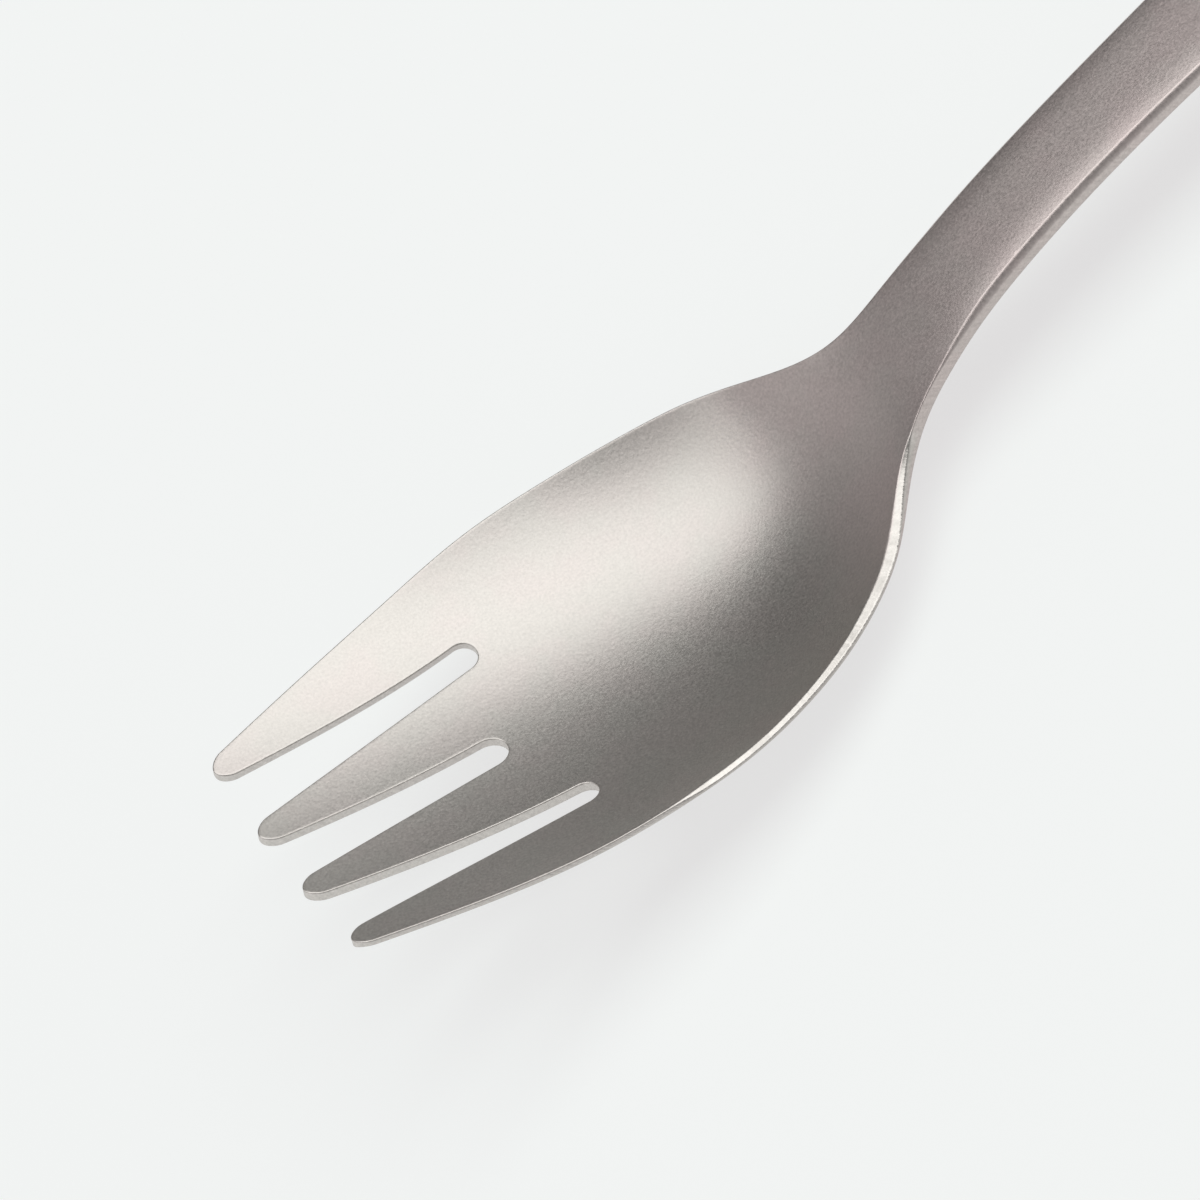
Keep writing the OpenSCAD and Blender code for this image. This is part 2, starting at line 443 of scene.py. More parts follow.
    def slot_half(self, x: Array, depth: float, root: float, mouth: float) -> Array:
        """Gives a slot's half width.

        Args:
            x: Places along the spork.
            depth: The slot's length.
            root: Its width at the round root.
            mouth: Its width at the tips.

        Returns:
            The half width at each place.
        """
        radius = root / 2
        straight = depth - radius
        flare = (mouth - root) / 2 * (np.maximum(straight - x, 0) / straight) ** self.flare_power
        round_end = np.sqrt(np.maximum(radius**2 - np.maximum(x - straight, 0) ** 2, 0))
        return np.where(x > straight, round_end, radius + flare)

    def mid_half(self, x: Array) -> Array:
        """Returns the middle slot's half width."""
        return self.slot_half(x, self.mid_slot_len, self.mid_slot_w, self.mid_slot_mouth)

    def side_half(self, x: Array) -> Array:
        """Returns a side slot's half width."""
        return self.slot_half(x, self.side_slot_len, self.side_slot_w, self.side_slot_mouth)

    def side_y(self, x: Array) -> Array:
        """Returns how far a side slot's middle is from the middle line."""
        return self.side_slot_root_y - (self.side_slot_root_y - self.side_slot_mouth_y) * (1 - x / self.side_slot_len)

    def along_head(self, shares: Stretch, x: Array) -> Array:
        """Returns how far a stretch of the head has passed, from 0 to 1."""
        return ease(shares[0] * self.head_len, shares[1] * self.head_len, x)

    def ground(self, x: Array, share: Array) -> Array:
        """Returns how much of the grinding that thins the bowl's rim reaches a place, from 0 to 1."""
        return (1 - self.along_head(self.grind_share, x)) * ease(*self.grind_edge_share, share)

    def turned(self, x: Array) -> Array:
        """Returns how far the cut edge has turned from square with the sheet to upright, from 0 to 1."""
        return self.along_head(self.turn_share, x)

    def creased(self, x: Array, share: Array) -> Array:
        """Returns how much of the handle's turned-down rim reaches a place, from 0 to 1."""
        return self.turned(x) * ease(*self.crease_edge_share, share)


# ---------------------------------------------------------------- the flat blank


@dataclass
class Outline:
    """The closed cut edge of the flat blank, anticlockwise seen from above, in mm.

    Attributes:
        place: Its points.
        outward: The way out of the sheet at each point.
        along: How far along the edge each point is.
        polish: The polish that the wheel leaves at each point.
    """

    place: Array
    outward: Array
    along: Array
    polish: Array


@dataclass
class Blank:
    """The flat blank of the spork, cut from sheet along the outline of the form, with fine even faces.

    Lengths are in mm, and stretches run along the spork.
    """

    form: SporkForm
    # The faces, and the greatest step and turn from point to point of the cut edge.
    face_size: float = 0.55
    step: float = 0.5
    turn_step: float = math.radians(11)
    # Widths of the upper corner: round the bowl, where it is filed the most and along the handle; and of the lower one.
    rim_corner: float = 0.13
    filed_bevel: float = 0.7
    handle_bevel: float = 0.58
    lower_corner: float = 0.2
    # How far inside the corners a second row of points lies, and the first points of the grid.
    second_lip: float = 0.07
    keep_off: float = 0.3
    # Rows of faces round a corner, and down the wall between the corners.
    corner_rows: int = 5
    wall_rows: int = 3
    # Where the right of the bowl's rim is filed, and where its bevel widens, slims and ends.
    filing_starts: Stretch = (25.0, 31.0)
    filing_stops: Stretch = (61.0, 62.5)
    bevel_widens: Stretch = (38.0, 56.0)
    first_width: float = 0.4
    bevel_slims: Stretch = (54.0, 60.0)
    slimmed_by: float = 0.45
    bevel_ends: Stretch = (59.0, 62.6)
    # Where the upper corner turns into the handle's, and how flat that one is: 0 is round and 1 is a bevel.
    coining: Stretch = (64.0, 76.0)
    coined_flat: float = 0.45
    # Where the bowl's rim ends and the handle's side starts, as a share of the head's length.
    neck_share: float = 0.88
    # Points on the parts of half the cut edge, before they are spaced.
    end_points: int = 120
    side_points: int = 1600
    tip_points: int = 160
    slot_points: int = 400
    mid_root_points: int = 80
    # How many times the polish of neighbouring points is blended.
    blend_rounds: int = 3

    def filed(self, x: Array, y: Array) -> Array:
        """Returns how far the upper corner is filed to a bevel, from 0 to 1: along the right of the bowl."""
        return ease(*self.filing_starts, x) * (1 - ease(*self.filing_stops, x)) * (y < 0)

    def coined(self, x: Array) -> Array:
        """Returns how far the upper corner has turned into the handle's, from 0 to 1."""
        return ease(*self.coining, x)

    def flat(self, x: Array, y: Array) -> Array:
        """Returns how flat the upper corner is, from 0 for a round one to 1 for a bevel."""
        return np.maximum(self.filed(x, y), self.coined(x) * self.coined_flat)

    def wide_bevel(self, x: Array, y: Array) -> Array:
        """Finds how wide the filed bevel is.

        Args:
            x: Places along the spork.
            y: Places across it.

        Returns:
            The share of its full width at each place.
        """
        widened = self.first_width + (1 - self.first_width) * ease(*self.bevel_widens, x)
        slimmed = 1 - self.slimmed_by * ease(*self.bevel_slims, x)
        return ease(*self.filing_starts, x) * widened * slimmed * (1 - ease(*self.bevel_ends, x)) * (y < 0)

    def upper_corner(self, x: Array, y: Array) -> Array:
        """Returns the width of the upper corner: small round the bowl, more where it is filed and on the handle."""
        bevel = (self.filed_bevel - self.rim_corner) * self.wide_bevel(x, y)
        return self.rim_corner + bevel + (self.handle_bevel - self.rim_corner) * self.coined(x)

    def _half_path(self) -> list[tuple[CutEdge, Array]]:
        """Walks the left half of the outline, from the middle of the handle's end to the middle slot's root.

        Returns:
            Each stretch of cut edge, with its points.
        """
        f = self.form
        quarter = np.linspace(0, math.pi / 2, self.end_points)
        x_end = f.end_from + f.end_round * np.cos(quarter)
        end = np.stack([x_end, f.half_width.at(x_end) * np.sin(quarter)], 1)
        x_side = np.linspace(f.end_from, f.outer_setback + f.tip_round, self.side_points)
        side = np.stack([x_side, f.half_width.at(x_side)], 1)
        neck_at = np.searchsorted(-x_side, -self.neck_share * f.head_len)

        root_r, mid_r = f.side_slot_w / 2, f.mid_slot_w / 2
        root_x, mid_x = f.side_slot_len - root_r, f.mid_slot_len - mid_r
        x_out = np.linspace(f.outer_setback + f.tip_round, root_x, self.slot_points)
        x_in = np.linspace(root_x, f.tip_round, self.slot_points)
        half_turn = np.linspace(math.pi / 2, -math.pi / 2, self.end_points)
        x_root = root_x + root_r * np.cos(half_turn)
        x_mid = np.linspace(f.tip_round, mid_x, self.slot_points)
        mid_turn = np.linspace(math.pi / 2, 0, self.mid_root_points)
        return [
            (CutEdge.HANDLE_SIDE, end),
            (CutEdge.HANDLE_SIDE, side[:neck_at]),
            (CutEdge.BOWL_RIM, side[neck_at - 1 :]),
            (CutEdge.TINE_TIP, self._tip(f.outer_setback, outer=True)),
            (CutEdge.SLOT, np.stack([x_out, f.side_y(x_out) + f.side_half(x_out)], 1)),
            (CutEdge.SLOT, np.stack([x_root, f.side_y(x_root) + root_r * np.sin(half_turn)], 1)),
            (CutEdge.SLOT, np.stack([x_in, f.side_y(x_in) - f.side_half(x_in)], 1)),
            (CutEdge.TINE_TIP, self._tip(0.0, outer=False)),
            (CutEdge.SLOT, np.stack([x_mid, f.mid_half(x_mid)], 1)),
            (CutEdge.SLOT, np.stack([mid_x + mid_r * np.cos(mid_turn), mid_r * np.sin(mid_turn)], 1)),
        ]

    def _tip(self, start: float, outer: bool) -> Array:
        """Walks round a tine's tip, from its outer edge to its inner edge.

        Args:
            start: Where the tine starts along the spork.
            outer: Whether it is an outer tine.

        Returns:
            The points.
        """
        f = self.form
        half_turn = np.linspace(math.pi / 2, -math.pi / 2, self.tip_points)
        x = start + f.tip_round * (1 - np.cos(half_turn))
        slot = f.side_half(x)
        low, high = (f.side_y(x) + slot, f.half_width.at(x)) if outer else (f.mid_half(x), f.side_y(x) - slot)
        return np.stack([x, (low + high) / 2 + (high - low) / 2 * np.sin(half_turn)], 1)

    def _half_outline(self) -> tuple[Array, Array]:
        """Spaces points along the left half of the cut edge, closer where it turns.

        Returns:
            The points, and the polish at each.
        """
        half = self._half_path()
        place = np.concatenate([points for _, points in half])
        polish = np.concatenate([np.full(len(points), edge.value) for edge, points in half])
        fresh = np.append(True, np.hypot(*np.diff(place, axis=0).T) > TINY)
        place, polish = place[fresh], polish[fresh]
        hop = np.hypot(*np.diff(place, axis=0).T)
        heading = np.unwrap(np.arctan2(*np.diff(place, axis=0).T[::-1]))
        bend = np.abs(np.append(np.diff(heading), 0))
        effort = np.append(0, np.cumsum(np.maximum(hop / self.step, bend / self.turn_step)))
        count = math.ceil(effort[-1])
        stops = np.linspace(0, effort[-1], count + 1)
        spaced = np.stack([np.interp(stops, effort, place[:, i]) for i in (0, 1)], 1)
        spaced[0, 1] = spaced[-1, 1] = 0
        return spaced, np.interp(stops, effort, polish)

    def outline(self) -> Outline:
        """Mirrors the half of the cut edge into the whole.

        Returns:
            The outline.
        """
        half, shine = self._half_outline()
        ring = np.concatenate([half, (half * (1, -1))[-2:0:-1]])
        shine = np.concatenate([shine, shine[-2:0:-1]])
        ahead = np.roll(ring, -1, 0) - ring
        run = np.hypot(*ahead.T)
        unit = ahead / run[:, None]
        middle = unit + np.roll(unit, 1, 0)
        middle /= np.hypot(*middle.T)[:, None]
        outward = np.stack([middle[:, 1], -middle[:, 0]], 1)
        for _ in range(self.blend_rounds):
            shine = (np.roll(shine, 1) + 2 * shine + np.roll(shine, -1)) / 4
        return Outline(ring, outward, np.append(0, np.cumsum(run)[:-1]), shine)

    def _inner_points(self, ring: Outline) -> Array:
        """Lays an even grid over the blank, clear of its cut edge.

        Args:
            ring: The cut edge.

        Returns:
            The grid's points.
        """
        half_count = math.ceil(self.form.bowl_w / 2 / self.face_size) + 1
        across = np.arange(-half_count, half_count + 1) * self.face_size
        kept = []
        for row, x in enumerate(np.arange(self.keep_off, self.form.length, self.face_size * math.sqrt(3) / 2)):
            points = np.stack([np.full(across.shape, x), across + row % 2 * self.face_size / 2], 1)
            close = np.abs(ring.place[:, 0] - x) < self.form.bowl_w / 2
            near, facing = ring.place[close], ring.outward[close]
            gap = points[:, None] - near[None]
            away = np.hypot(gap[..., 0], gap[..., 1])
            nearest = away.argmin(1)
            index = np.arange(len(points))
            depth = -(gap[index, nearest] * facing[nearest]).sum(1)
            clear = max(self.upper_corner(x, -1.0), self.lower_corner) + self.keep_off
            kept.append(points[(depth > 0) & (away[index, nearest] > clear)])
        return np.concatenate(kept)

    def cut(self) -> bpy.types.Mesh:
        """Cuts the blank: an upper face, a lower face and the rows of the wall between them, still flat.

        Returns:
            The blank, with everything the dies need to know stored on its vertices.
        """
        ring = self.outline()
        count = len(ring.place)
        width, flatness = self.upper_corner(*ring.place.T), self.flat(*ring.place.T)
        upper, lip, upper_faces = self._upper_face(ring, width)
        size = len(upper)
        lower = upper.copy()
        lower[lip] = self._inset(ring, np.full(count, self.lower_corner))
        rows = self._rows()
        reach = [self._curl(width, u, flatness) + self._curl(self.lower_corner, v, 0.0) for u, v, _ in rows]
        plan = np.concatenate([upper, lower] + [self._inset(ring, r) for r in reach])
        marks = {name: np.zeros(len(plan)) for name in ("upper", "lower", "depth", "cut", "polish", "along")}
        marks["depth"][size : 2 * size] = 1
        bands = [lip]
        for number, row in enumerate(rows):
            at = 2 * size + number * count + np.arange(count)
            marks["upper"][at], marks["lower"][at], marks["depth"][at] = row
            marks["cut"][at] = min(row[0], row[1])
            bands.append(at)
        bands.append(lip + size)
        for band in bands:
            marks["along"][band], marks["polish"][band] = ring.along * MM, ring.polish
        lower_faces = [tuple(v + size for v in reversed(face)) for face in upper_faces]
        mesh = bpy.data.meshes.new("flat blank")
        mesh.from_pydata([(x * MM, y * MM, 0) for x, y in plan], [], upper_faces + self._wall(bands) + lower_faces)
        self._mark(mesh, marks | self._die_marks(plan))
        return mesh

    def _upper_face(self, ring: Outline, width: Array) -> tuple[Array, Array, list[tuple[int, ...]]]:
        """Fills the upper face with even triangles.

        Args:
            ring: The cut edge.
            width: The upper corner's width at each point of it.

        Returns:
            The face's points, the numbers of those on its lip in the order of the cut edge, and its triangles.
        """
        second = self._inset(ring, np.maximum(width, self.lower_corner) + self.second_lip)
        flat = np.concatenate([self._inset(ring, width), second, self._inner_points(ring)])
        count = len(ring.place)
        out = delaunay_2d_cdt([Vector(point) for point in flat], [], [list(range(count))], 0, TINY, True)
        points, _, faces, came_from, _, inside = out
        lip = np.empty(count, int)
        for number, ids in enumerate(came_from):
            lip[[i for i in ids if i < count]] = number
        return np.array([tuple(point) for point in points]), lip, [tuple(f) for f, kept in zip(faces, inside) if kept]

    @staticmethod
    def _wall(bands: list[Array]) -> list[tuple[int, ...]]:
        """Joins closed rows of points with quads.

        Args:
            bands: The numbers of the points in each row, from the upper face down.

        Returns:
            The quads.
        """
        faces = []
        for first, last in zip(bands, bands[1:]):
            quads = np.stack([first, last, np.roll(last, -1), np.roll(first, -1)], 1)
            faces.extend(tuple(int(v) for v in quad) for quad in quads)
        return faces

    def _rows(self) -> list[tuple[float, float, float]]:
        """Lists the rows of points down the cut edge, from the upper face to the lower face.

        Returns:
            For each row: how far round the upper corner it is, how far round the lower corner, and its depth between.
        """
        turn = [i / self.corner_rows for i in range(1, self.corner_rows + 1)]
        wall = [i / self.wall_rows for i in range(1, self.wall_rows)]
        return [(u, 1.0, 0.0) for u in turn] + [(1.0, 1.0, w) for w in wall] + [(1.0, v, 1.0) for v in reversed(turn)]

    @staticmethod
    def _curl(width: Array | float, turn: float, flat: Array | float) -> Array | float:
        """Finds how far inside the cut edge a corner still is.

        Args:
            width: The corner's width.
            turn: Share of the way round it.
            flat: 0 for a round corner, 1 for a flat bevel.

        Returns:
            The distance.
        """
        return width * (1 - turn * flat - math.sin(turn * math.pi / 2) * (1 - flat))

    @staticmethod
    def _inset(ring: Outline, by: Array) -> Array:
        """Moves the outline inwards.

        Args:
            ring: The outline.
            by: How far each point moves.

        Returns:
            The moved points.
        """
        return ring.place - ring.outward * by[:, None]

    def _die_marks(self, plan: Array) -> dict[str, Array]:
        """Reads the form's curves at every place of the blank.

        Args:
            plan: The places, in mm.

        Returns:
            One number for each place, by name; lengths are in metres.
        """
        f = self.form
        x, y = plan.T
        share, along, across = f.edge_share(x, y)
        return {
            "middle": f.middle.at(x) * MM,
            "middle_slope": f.middle.slope(x),
            "dish": f.dish.at(x) * MM,
            "dish_slope": f.dish.slope(x),
            "edge": share,
            "edge_along": along / MM,
            "edge_across": across / MM,
            "ground": f.ground(x, share),
            "turned": f.turned(x),
            "filed": self.filed(x, y),
            "flat": self.flat(x, y),
            "wide": self.wide_bevel(x, y),
            "coined": self.coined(x),
            "creased": f.creased(x, share),
        }

    @staticmethod
    def _mark(mesh: bpy.types.Mesh, marks: dict[str, Array]) -> None:
        """Stores numbers on the vertices.

        Args:
            mesh: The mesh.
            marks: One array for each name.
        """
        for name, values in marks.items():
            layer = mesh.attributes.new(name, "FLOAT", "POINT")
            layer.data.foreach_set("value", values.astype(np.float32))


# ---------------------------------------------------------------- the press


@dataclass
class Press:
    """The dies and the grinding wheel: a node tree that turns the flat blank into the spork.

    Attributes:
        blank: The blank that goes in.
        start: Where the tips of the inner tines end up along the model, in mm.
    """

    blank: Blank
    start: float = 0.0

    def tree(self) -> bpy.types.GeometryNodeTree:
        """Builds the tree, with its sizes as named inputs.

        Returns:
            The tree.
        """
        tree = bpy.data.node_groups.new("Press the sheet", "GeometryNodeTree")
        face = tree.interface
        face.new_socket("Blank", in_out="INPUT", socket_type="NodeSocketGeometry")
        for name in self.sizes():
            face.new_socket(name, in_out="INPUT", socket_type="NodeSocketFloat")
        face.new_socket("Metal", in_out="INPUT", socket_type="NodeSocketMaterial")
        face.new_socket("Spork", in_out="OUTPUT", socket_type="NodeSocketGeometry")
        bench = Bench(tree)
        given = bench.add("NodeGroupInput")
        place = bench.add("GeometryNodeSetPosition", {"Geometry": given.outputs["Blank"]})
        bench.feed(place.inputs["Position"], self._pressed(bench, given))
        smooth = bench.add("GeometryNodeSetShadeSmooth", {"Geometry": place.outputs[0]})
        real = bench.add("GeometryNodeRealizeInstances", {"Geometry": smooth.outputs[0]})
        inputs = {"Geometry": real.outputs[0], "Material": given.outputs["Metal"]}
        metal = bench.add("GeometryNodeSetMaterial", inputs)
        bench.add("NodeGroupOutput", {"Spork": metal.outputs[0]})
        bench.line_up()
        return tree

    def sizes(self) -> dict[str, float]:
        """Lists the tree's sizes.

        Returns:
            The sizes by name, in metres, and the two powers.
        """
        form = self.blank.form
        return {
            "Sheet thickness": form.sheet_t * MM,
            "Rim thickness": form.rim_t * MM,
            "Rim drop": form.rim_drop * MM,
            "Dish power": form.dish_power,
            "Crown power": form.crown_power,
            "Upper corner of the bowl": self.blank.rim_corner * MM,
            "Filed bevel": self.blank.filed_bevel * MM,
            "Handle bevel": self.blank.handle_bevel * MM,
            "Lower corner": self.blank.lower_corner * MM,
            "Start": self.start * MM,
        }

    def _pressed(self, bench: Bench, given: bpy.types.Node) -> Socket:
        """Wires up where the dies and the wheel leave each vertex.

        Args:
            bench: The tree.
            given: Its input node.

        Returns:
            The new position.
        """

        def size(name: str) -> Wire:
            """Returns one of the tree's sizes."""
            return bench.wire(given.outputs[name])

        def mark(name: str) -> Wire:
            """Returns a number that is stored on the blank."""
            node = bench.add("GeometryNodeInputNamedAttribute", {"Name": name}, data_type="FLOAT")
            return bench.wire(node.outputs["Attribute"])

        flat = bench.add("ShaderNodeSeparateXYZ", {0: bench.add("GeometryNodeInputPosition").outputs[0]})
        x, y = bench.wire(flat.outputs["X"]), bench.wire(flat.outputs["Y"])
        dish, edge, lean = mark("dish"), mark("edge"), mark("middle_slope")
        hollow = bench.math("GREATER_THAN", dish, 0.0)
        power = size("Crown power") + hollow * (size("Dish power") - size("Crown power"))
        reach = edge**power
        steep = dish * power * edge ** (power - 1.0)
        along = lean + mark("dish_slope") * reach + steep * mark("edge_along")
        across = steep * mark("edge_across")
        top = mark("middle") + dish * reach
        slant = bench.math("SQRT", along * along + across * across + 1.0)
        thick = size("Sheet thickness") - (size("Sheet thickness") - size("Rim thickness")) * mark("ground")
        turned = mark("turned")
        square = (1.0 - turned) * thick / slant
        drop = turned * thick * slant / (along * lean + 1.0)
        upper_point = [x, y, top]
        under = top - square - drop - size("Rim drop") * mark("creased")
        lower_point = [x + square * along + drop * lean, y + square * across, under]

        through = self._unit(bench, [low - high for low, high in zip(lower_point, upper_point)])
        upper, lower, depth = mark("upper"), mark("lower"), mark("depth")
        corner = size("Upper corner of the bowl")
        wide = corner + (size("Filed bevel") - corner) * mark("wide")
        wide = wide + (size("Handle bevel") - corner) * mark("coined")
        round_off = 1.0 - bench.math("COSINE", upper * (math.pi / 2))
        sunk = wide * (round_off + (upper - round_off) * mark("flat")) * (1.0 - depth)
        lifted = size("Lower corner") * (1.0 - bench.math("COSINE", lower * (math.pi / 2))) * depth
        place = []
        for high, low, way in zip(upper_point, lower_point, through):
            place.append(high + (low - high) * depth + way * (sunk - lifted))
        place[0] = place[0] + size("Start")
        return bench.add("ShaderNodeCombineXYZ", dict(enumerate(place))).outputs[0]

    @staticmethod
    def _unit(bench: Bench, parts: list[Wire]) -> list[Wire]:
        """Gives a direction the length 1.

        Args:
            bench: The tree.
            parts: The direction's parts along x, y and z.

        Returns:
            The parts of the unit direction.
        """
        long = bench.math("SQRT", parts[0] * parts[0] + parts[1] * parts[1] + parts[2] * parts[2])
        safe = bench.math("MAXIMUM", long, TINY * MM)
        return [part / safe for part in parts]


# ---------------------------------------------------------------- finishes


@dataclass(frozen=True)
class Surface:
    """What a finish reads off the sheet at a point.

    Attributes:
        place: The point's own coordinates on the piece.
        grain: The grain of the blasting, from 0 to 1.
        pits: How far the point is from the middle of a pit.
        marks: The file's marks, from 0 to 1.
        cut: How far the point is round the corner of the cut edge; 1 on its wall.
        filed: Whether the cut edge is filed bright there.
        worked: How much of the filed bevel is there.
        polish: How much polish there is.
    """

    place: Socket
    grain: Wire
    pits: Wire
    marks: Wire
    cut: Wire
    filed: Wire
    worked: Wire
    polish: Wire


@dataclass(frozen=True)
class BlastedTitanium:
    """Titanium sheet blasted with fine beads, with brighter ground edges.

    Attributes:
        cool: The metal's colour in the bowl.
        warm: Its colour where it is warmest: partly the metal's own tone, partly painted reflection.
        ground: Its colour on a ground edge.
        warming: Where along the model it turns warmer towards the handle, in mm: painted reflection of the pinker
            surroundings that the neck and handle mirror.
        warming_share: How much of the warmth comes from that; the rest comes in patches of the metal's own tone.
        patch: Size of the patches, in mm.
        patch_range: The noise at which a patch is cool and at which it is warm.
        edge_warmth: How warm the cut edge is at least: painted reflection of the pinkish shaded floor it mirrors.
        filed_tint: How much of the ground colour the filed bevel does without.
        rough: Roughness of the blasted faces.
        ground_rough: Roughness of the ground edges.
        grain: Size of the grain, in mm.
        grain_depth: Height of the grain, in mm.
        grain_fleck: How much the grain changes the metal's brightness.
        grain_rough: How much it changes the roughness.
        grain_worn: How much of its height a ground edge has lost.
        pit: Size of the pits, as a multiple of the grain's.
        pit_depth: Their depth, as a multiple of the grain's height.
        pit_worn: How much of their depth a ground edge has lost.
        edge_dim: How much darker the cut edge is: painted shade of the shaded floor that it mirrors.
        file_mark: Width of a file's marks on the cut edge, in mm.
        file_slant: How far the marks lean over the edge's height, in mm.
        file_fleck: How much they change its brightness.
        file_rough: How much they change its roughness.
        file_depth: Their depth, as a multiple of the grain's height.
        lump: Length of the brighter stretches of the filed bevel, in mm.
        lump_range: The noise at which such a stretch is dullest and at which it is brightest.
        lump_least: How bright its dullest stretches are, as a share of the brightest.
        brightens: How fast the bevel gets bright from its inner edge; at 1 it takes the whole bevel.
        grain_layers: How many finer layers the grain's noise has, and how strong each is against the one before.
        patch_layers: The same for the patches.
        mark_layers: The same for the file's marks and the bevel's brighter stretches.
    """

    cool: Colour = (0.509, 0.489, 0.458)
    warm: Colour = (0.548, 0.478, 0.462)
    ground: Colour = (0.66, 0.635, 0.605)
    warming: Stretch = (-38.0, -24.0)
    warming_share: float = 0.75
    patch: float = 6.0
    patch_range: Stretch = (0.38, 0.62)
    edge_warmth: float = 0.4
    filed_tint: float = 0.8
    rough: float = 0.38
    ground_rough: float = 0.3
    grain: float = 0.24
    grain_depth: float = 0.008
    grain_fleck: float = 0.5
    grain_rough: float = 0.15
    grain_worn: float = 0.5
    pit: float = 1.6
    pit_depth: float = 0.5
    pit_worn: float = 0.8
    edge_dim: float = 0.15
    file_mark: float = 0.45
    file_slant: float = 0.5
    file_fleck: float = 0.32
    file_rough: float = 0.25
    file_depth: float = 4.5
    lump: float = 3.5
    lump_range: Stretch = (0.36, 0.5)
    lump_least: float = 0.3
    brightens: float = 3.0
    grain_layers: Layers = (2.0, 0.55)
    patch_layers: Layers = (3.0, 0.55)
    mark_layers: Layers = (2.0, 0.6)

    def build(self) -> bpy.types.Material:
        """Builds the material.

        Returns:
            The material.
        """
        material = bpy.data.materials.new("bead-blasted titanium")
        material.use_nodes = True
        bench = Bench(material.node_tree)
        surface = self._read(bench)
        bump = {"Strength": 1.0, "Distance": self.grain_depth * MM, "Height": self._height(surface)}
        metal = {
            "Base Color": self._colour(bench, surface),
            "Metallic": 1.0,
            "Roughness": self._roughness(surface),
            "Normal": bench.add("ShaderNodeBump", bump).outputs[0],
        }
        shader = bench.add("ShaderNodeBsdfPrincipled", metal)
        bench.add("ShaderNodeOutputMaterial", {"Surface": shader.outputs[0]})
        bench.line_up()
        return material

    def _read(self, bench: Bench) -> Surface:
        """Wires up everything that the finish follows.

        Args:
            bench: The tree.

        Returns:
            What the metal is like at a point.
        """
        place = bench.add("ShaderNodeTexCoord").outputs["Object"]
        cut, depth = self._mark(bench, "cut"), self._mark(bench, "depth")
        filed, along = self._mark(bench, "filed"), self._mark(bench, "along")
        pits = bench.add("ShaderNodeTexVoronoi", {"Vector": place, "Scale": 1 / (self.pit * self.grain * MM)})
        lumps = self._ramp(bench, self._noise(bench, along, self.lump, self.mark_layers), self.lump_range)
        worked = bench.math("MINIMUM", cut * self.brightens, 1.0) * filed * (1.0 - depth)
        bright = worked * (self.lump_least + lumps * (1 - self.lump_least))
        return Surface(
            place=place,
            grain=self._noise(bench, place, self.grain, self.grain_layers),
            pits=bench.wire(pits.outputs["Distance"]),
            marks=self._noise(bench, along - depth * (self.file_slant * MM), self.file_mark, self.mark_layers),
            cut=cut,
            filed=filed,
            worked=worked,
            polish=self._mark(bench, "polish") * cut * (1.0 - filed) + bright,
        )

    def _colour(self, bench: Bench, surface: Surface) -> Socket:
        """Wires up the metal's colour.

        Args:
            bench: The tree.
            surface: What the metal is like at a point.

        Returns:
            The colour.
        """
        cut, marks, polish = surface.cut, surface.marks, surface.polish
        along = bench.wire(bench.add("ShaderNodeSeparateXYZ", {0: surface.place}).outputs["X"])
        # Painted reflection: the metal turns warmer towards the handle, for the pinker surroundings that it mirrors.
        painted_reflection_warmth = self._ramp(bench, along, (self.warming[0] * MM, self.warming[1] * MM))
        patches = self._noise(bench, surface.place, self.patch, self.patch_layers)
        patches = self._ramp(bench, patches, self.patch_range)
        warmth = painted_reflection_warmth * self.warming_share + patches * (1 - self.warming_share)
        # Painted reflection: the cut edge is kept warm, for the pinkish shaded floor that it mirrors.
        warmth = bench.math("MAXIMUM", warmth, cut * self.edge_warmth) * (1.0 - surface.worked)
        tint = bench.mix(warmth, self.cool, self.warm)
        tint = bench.mix(polish * (1.0 - surface.filed * self.filed_tint), tint, self.ground)
        speckle = 1.0 - self.grain_fleck / 2 + surface.grain * self.grain_fleck
        # Painted shade: the cut edge is darker, for the shaded floor that it mirrors; the file's marks are its own.
        speckle = speckle * (1.0 - cut * self.edge_dim + marks * cut * self.file_fleck)
        grey = bench.add("ShaderNodeCombineColor", dict(enumerate([speckle] * 3))).outputs[0]
        return bench.mix(1.0, tint, grey, "MULTIPLY")

    def _roughness(self, surface: Surface) -> Wire:
        """Wires up the metal's roughness.

        Args:
            surface: What the metal is like at a point.

        Returns:
            The roughness.
        """
        blasted = self.rough - self.grain_rough / 2 + surface.grain * self.grain_rough
        worn = (self.ground_rough - self.rough) * surface.polish
        return blasted + worn + (surface.marks - 0.5) * surface.polish * self.file_rough

    def _height(self, surface: Surface) -> Wire:
        """Wires up the height of the metal's relief.

        Args:
            surface: What the metal is like at a point.

        Returns:
            The height, as a multiple of the grain's.
        """
        grain = surface.grain * (1.0 - surface.polish * self.grain_worn)
        pits = surface.pits * (self.pit_depth - surface.polish * (self.pit_depth * self.pit_worn))
        return grain + pits + surface.marks * surface.cut * self.file_depth

    @staticmethod
    def _noise(bench: Bench, along: Socket | Wire, size: float, layers: Layers) -> Wire:
        """Adds a noise texture.

        Args:
            bench: The tree.
            along: What it follows: coordinates, or one length in metres, on which it changes like stripes.
            size: Size of its features, in mm.
            layers: Its finer layers.

        Returns:
            The noise, from 0 to 1.
        """
        followed, dimensions = ("W", "1D") if isinstance(along, Wire) else ("Vector", "3D")
        inputs = {followed: along, "Scale": 1 / (size * MM), "Detail": layers[0], "Roughness": layers[1]}
        return bench.wire(bench.add("ShaderNodeTexNoise", inputs, noise_dimensions=dimensions).outputs[0])

    @staticmethod
    def _mark(bench: Bench, name: str) -> Wire:
        """Returns a number that is stored on the sheet."""
        return bench.wire(bench.add("ShaderNodeAttribute", attribute_name=name).outputs["Fac"])

